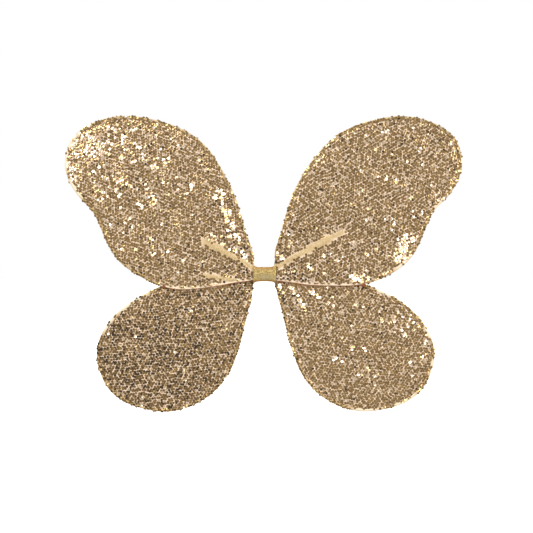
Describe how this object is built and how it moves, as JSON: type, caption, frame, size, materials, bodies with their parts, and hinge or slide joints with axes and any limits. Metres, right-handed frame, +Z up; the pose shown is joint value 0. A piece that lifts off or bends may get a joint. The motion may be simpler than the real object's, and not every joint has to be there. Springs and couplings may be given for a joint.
{
  "type": "fairy wings",
  "caption": "Costume fairy wings: wire-framed butterfly wings of sequinned cloth joined at a waisted glitter band, with elastic shoulder loops.",
  "frame": {"origin": "middle of the centre patch's flat back face, which rests on the wearer's back", "axes": "+Z up as worn, +Y towards the wearer, +X to the right as seen from the decorated face"},
  "size_m": [0.4494, 0.019, 0.3342],
  "materials": {
    "sequin": "gold sequins sewn in winding rows on pale gold cloth",
    "lining": "plain pale gold satin",
    "casing": "rolled cream satin",
    "glitter": "fine gold glitter cloth",
    "steel": "drawn steel wire",
    "tape": "matte cloth tape",
    "felt": "matte felt",
    "elastic": "ribbed woven elastic",
    "thread": "reddish brown sewing thread"
  },
  "bodies": {
    "centre": {"centre_band": "glitter", "tape_wrap": "tape", "centre_wire_upper_top": "steel", "centre_wire_upper_bottom": "steel", "centre_wire_lower_top": "steel", "centre_wire_lower_bottom": "steel", "back_patch": "felt", "strap_end_left_upper": "elastic", "strap_end_left_lower": "elastic", "strap_end_right_upper": "elastic", "strap_end_right_lower": "elastic"},
    "left_wings": {"upper_left_frame_wire": "steel", "upper_left_edge_casing": "casing", "upper_left_sequin_cloth": "sequin", "upper_left_back_lining": "lining", "lower_left_frame_wire": "steel", "lower_left_edge_casing": "casing", "lower_left_sequin_cloth": "sequin", "lower_left_back_lining": "lining", "seam_tack_left": "thread"},
    "left_strap": {"strap_left": "elastic"},
    "right_wings": {"upper_right_frame_wire": "steel", "upper_right_edge_casing": "casing", "upper_right_sequin_cloth": "sequin", "upper_right_back_lining": "lining", "lower_right_frame_wire": "steel", "lower_right_edge_casing": "casing", "lower_right_sequin_cloth": "sequin", "lower_right_back_lining": "lining", "seam_tack_right": "thread"},
    "right_strap": {"strap_right": "elastic"}
  },
  "joints": [
    {"name": "left_wing_fold", "type": "hinge", "parent": "centre", "child": "left_wings", "pos_m": [-0.017, -0.0092, 0], "axis": [0, 0, 1], "range_deg": [0, 85]},
    {"name": "right_wing_fold", "type": "hinge", "parent": "centre", "child": "right_wings", "pos_m": [0.017, -0.0092, 0], "axis": [0, 0, -1], "range_deg": [0, 85]},
    {"name": "left_strap_swing", "type": "hinge", "parent": "centre", "child": "left_strap", "pos_m": [-0.0125, 0.0008, 0], "axis": [0, 0, -1], "range_deg": [0, 90]},
    {"name": "right_strap_swing", "type": "hinge", "parent": "centre", "child": "right_strap", "pos_m": [0.0125, 0.0008, 0], "axis": [0, 0, 1], "range_deg": [0, 90]}
  ]
}
